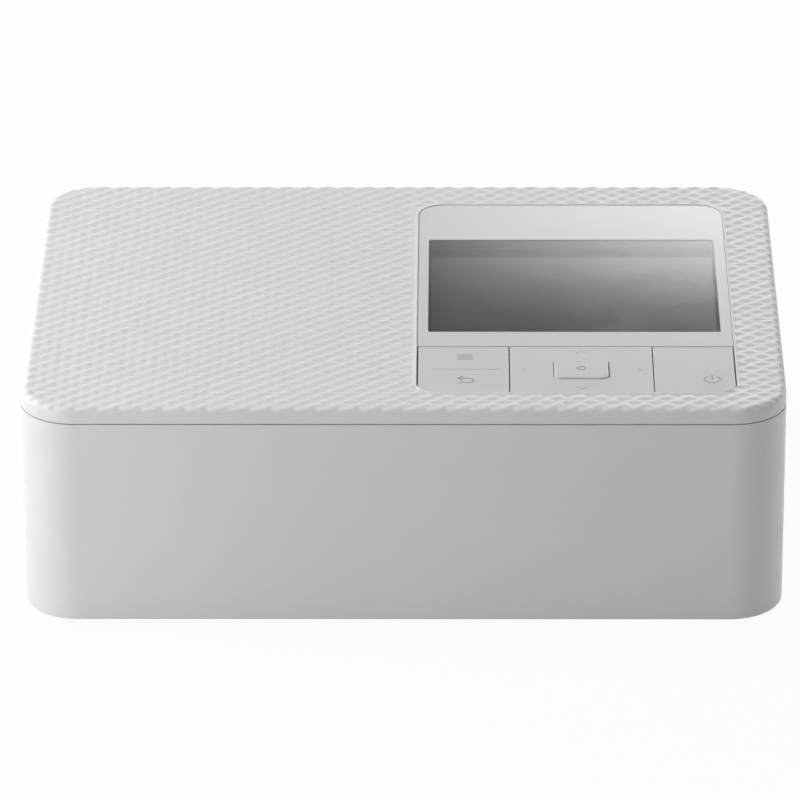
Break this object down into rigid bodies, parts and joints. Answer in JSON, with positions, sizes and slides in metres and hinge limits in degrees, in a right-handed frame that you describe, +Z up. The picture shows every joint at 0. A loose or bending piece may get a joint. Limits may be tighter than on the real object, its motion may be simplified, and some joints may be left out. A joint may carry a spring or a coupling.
{
  "type": "compact photo printer",
  "caption": "Low box-shaped photo printer with a hinged front cover, side ink door, top display with keys, rollers, print head and ink cassette inside.",
  "frame": {"origin": "middle of the footprint, on the surface the feet stand on", "axes": "+Z up, the front cover faces -Y, +X to the right seen from the front"},
  "size_m": [0.1822, 0.133, 0.0577],
  "materials": {
    "case_plastic": "fine moulded satin",
    "key_plastic": "gloss",
    "window": "clear, flush",
    "lcd": "dark satin glass",
    "inner_plastic": "moulded",
    "gear_plastic": "acetal",
    "black_plastic": "moulded",
    "cassette_plastic": "moulded",
    "lever_plastic": "moulded",
    "steel": "zinc-plated sheet",
    "brass": "turned",
    "aluminium": "extruded",
    "ceramic": "glazed",
    "rubber": "matte",
    "film": "gloss",
    "circuit_board": "solder mask",
    "cable_film": "satin"
  },
  "bodies": {
    "base": {"bottom_case": "case_plastic", "top_cover": "case_plastic", "rubber_feet": "rubber", "screws": "steel", "display_panel": "key_plastic", "display_window": "window", "lcd_module": "lcd", "lcd_frame": "steel", "key_carrier": "inner_plastic", "panel_board": "circuit_board", "push_switches": "black_plastic", "base_plate": "steel", "chassis_left": "steel", "chassis_right": "steel", "gear_plate": "steel", "shaft_bushes": "brass", "paper_guides": "steel", "feed_motor": "steel", "ribbon_motor": "steel", "head_motor": "steel", "main_board": "circuit_board", "board_chips": "black_plastic", "power_inlet": "black_plastic", "usb_socket": "steel", "card_board": "circuit_board", "card_socket": "steel", "flat_cable": "cable_film"},
    "front_cover": {"front_cover": "case_plastic", "front_hinge_pins": "steel"},
    "ink_door": {"ink_door": "case_plastic"},
    "menu_key": {"menu_key": "key_plastic"},
    "nav_ring": {"nav_ring": "inner_plastic"},
    "nav_pad": {"nav_pad": "key_plastic"},
    "ok_key": {"ok_key": "key_plastic"},
    "power_key": {"power_key": "key_plastic"},
    "platen": {"platen_rubber": "rubber", "platen_shaft": "steel", "platen_gear": "gear_plastic"},
    "feed_roller": {"feed_roller": "steel", "feed_gear": "gear_plastic"},
    "pinch_roller": {"pinch_roller": "rubber"},
    "pickup_roller": {"pickup_tyres": "rubber", "pickup_shaft": "steel"},
    "idler": {"idler_gear": "gear_plastic"},
    "feed_drive": {"feed_pinion": "brass"},
    "ribbon_drive": {"ribbon_pinion": "brass"},
    "head_drive": {"head_pinion": "brass"},
    "head_cam": {"head_cam": "gear_plastic"},
    "head": {"head_arm": "steel", "heat_sink": "aluminium", "thermal_head": "ceramic"},
    "takeup_drive": {"takeup_hub": "gear_plastic"},
    "cassette": {"ink_cassette": "cassette_plastic", "ribbon_film": "film"},
    "takeup_reel": {"takeup_spool": "black_plastic"},
    "supply_reel": {"supply_spool": "film"},
    "eject_lever": {"eject_lever": "lever_plastic"}
  },
  "joints": [
    {"name": "front_cover_hinge", "type": "hinge", "parent": "base", "child": "front_cover", "pos_m": [0, -0.062, 0.006], "axis": [1, 0, 0], "range_deg": [0, 90]},
    {"name": "ink_door_hinge", "type": "hinge", "parent": "base", "child": "ink_door", "pos_m": [0.0897, 0, 0.0186], "axis": [0, 1, 0], "range_deg": [0, 88]},
    {"name": "menu_key_press", "type": "slide", "parent": "base", "child": "menu_key", "axis": [0, 0, -1], "range_m": [0, 0.0005], "stiffness_N_per_m": 500},
    {"name": "power_key_press", "type": "slide", "parent": "base", "child": "power_key", "axis": [0, 0, -1], "range_m": [0, 0.0005], "stiffness_N_per_m": 500},
    {"name": "nav_tilt_front_back", "type": "hinge", "parent": "base", "child": "nav_ring", "pos_m": [0.0425, -0.0438, 0.0538], "axis": [1, 0, 0], "range_deg": [-1.5, 1.5], "stiffness_Nm_per_rad": 0.4},
    {"name": "nav_tilt_left_right", "type": "hinge", "parent": "nav_ring", "child": "nav_pad", "pos_m": [0.0425, -0.0438, 0.0538], "axis": [0, 1, 0], "range_deg": [-1.5, 1.5], "stiffness_Nm_per_rad": 0.4},
    {"name": "ok_key_press", "type": "slide", "parent": "nav_pad", "child": "ok_key", "axis": [0, 0, -1], "range_m": [0, 0.0005], "stiffness_N_per_m": 500},
    {"name": "platen_spin", "type": "hinge", "parent": "base", "child": "platen", "pos_m": [0, 0.0179, 0.0145], "axis": [1, 0, 0], "continuous": true},
    {"name": "feed_roller_spin", "type": "hinge", "parent": "base", "child": "feed_roller", "pos_m": [0, -0.0001, 0.01633], "axis": [1, 0, 0], "continuous": true},
    {"name": "pinch_roller_spin", "type": "hinge", "parent": "base", "child": "pinch_roller", "pos_m": [0, -0.0001, 0.0225], "axis": [1, 0, 0], "continuous": true},
    {"name": "pickup_roller_spin", "type": "hinge", "parent": "base", "child": "pickup_roller", "pos_m": [0, -0.0221, 0.0225], "axis": [1, 0, 0], "continuous": true},
    {"name": "idler_spin", "type": "hinge", "parent": "base", "child": "idler", "pos_m": [0, 0.0074, 0.02863], "axis": [1, 0, 0], "continuous": true},
    {"name": "feed_motor_spin", "type": "hinge", "parent": "base", "child": "feed_drive", "pos_m": [0, 0.0142, 0.0404], "axis": [1, 0, 0], "continuous": true},
    {"name": "head_arm_swing", "type": "hinge", "parent": "base", "child": "head", "pos_m": [0, 0.0524, 0.0471], "axis": [1, 0, 0], "range_deg": [0, 4.6], "stiffness_Nm_per_rad": 1, "springref_deg": -3.44},
    {"name": "head_cam_turn", "type": "hinge", "parent": "base", "child": "head_cam", "pos_m": [0, 0.0259, 0.0505], "axis": [1, 0, 0], "range_deg": [0, 160]},
    {"name": "head_motor_spin", "type": "hinge", "parent": "base", "child": "head_drive", "pos_m": [0, 0.03299, 0.04925], "axis": [1, 0, 0], "range_deg": [-224.5, 0]},
    {"name": "cassette_eject", "type": "slide", "parent": "base", "child": "cassette", "axis": [1, 0, 0], "range_m": [0, 0.003]},
    {"name": "eject_lever_turn", "type": "hinge", "parent": "base", "child": "eject_lever", "pos_m": [0.066, -0.0161, 0.029], "axis": [0, 0, -1], "range_deg": [0, 20.1]},
    {"name": "takeup_spin", "type": "hinge", "parent": "cassette", "child": "takeup_reel", "pos_m": [0, -0.0031, 0.0356], "axis": [1, 0, 0], "continuous": true},
    {"name": "supply_spin", "type": "hinge", "parent": "cassette", "child": "supply_reel", "pos_m": [0, 0.0389, 0.0356], "axis": [1, 0, 0], "continuous": true},
    {"name": "takeup_hub_spin", "type": "hinge", "parent": "base", "child": "takeup_drive", "pos_m": [0, -0.0031, 0.0356], "axis": [1, 0, 0], "continuous": true},
    {"name": "ribbon_motor_spin", "type": "hinge", "parent": "base", "child": "ribbon_drive", "pos_m": [0, -0.01156, 0.03252], "axis": [1, 0, 0], "continuous": true}
  ],
  "couplings": [
    {"joint": "feed_roller_spin", "follows": "platen_spin", "ratio": 1.5},
    {"joint": "idler_spin", "follows": "platen_spin", "ratio": -1.2},
    {"joint": "feed_motor_spin", "follows": "platen_spin", "ratio": 1.7143},
    {"joint": "pinch_roller_spin", "follows": "platen_spin", "ratio": -2.5},
    {"joint": "takeup_hub_spin", "follows": "takeup_spin", "ratio": 1},
    {"joint": "ribbon_motor_spin", "follows": "takeup_spin", "ratio": -2},
    {"joint": "supply_spin", "follows": "takeup_spin", "ratio": 0.61728},
    {"joint": "head_cam_turn", "follows": "head_arm_swing", "ratio": 34.782},
    {"joint": "head_motor_spin", "follows": "head_arm_swing", "ratio": -48.696},
    {"joint": "eject_lever_turn", "follows": "cassette_eject", "rad_per_m": 116.36}
  ]
}
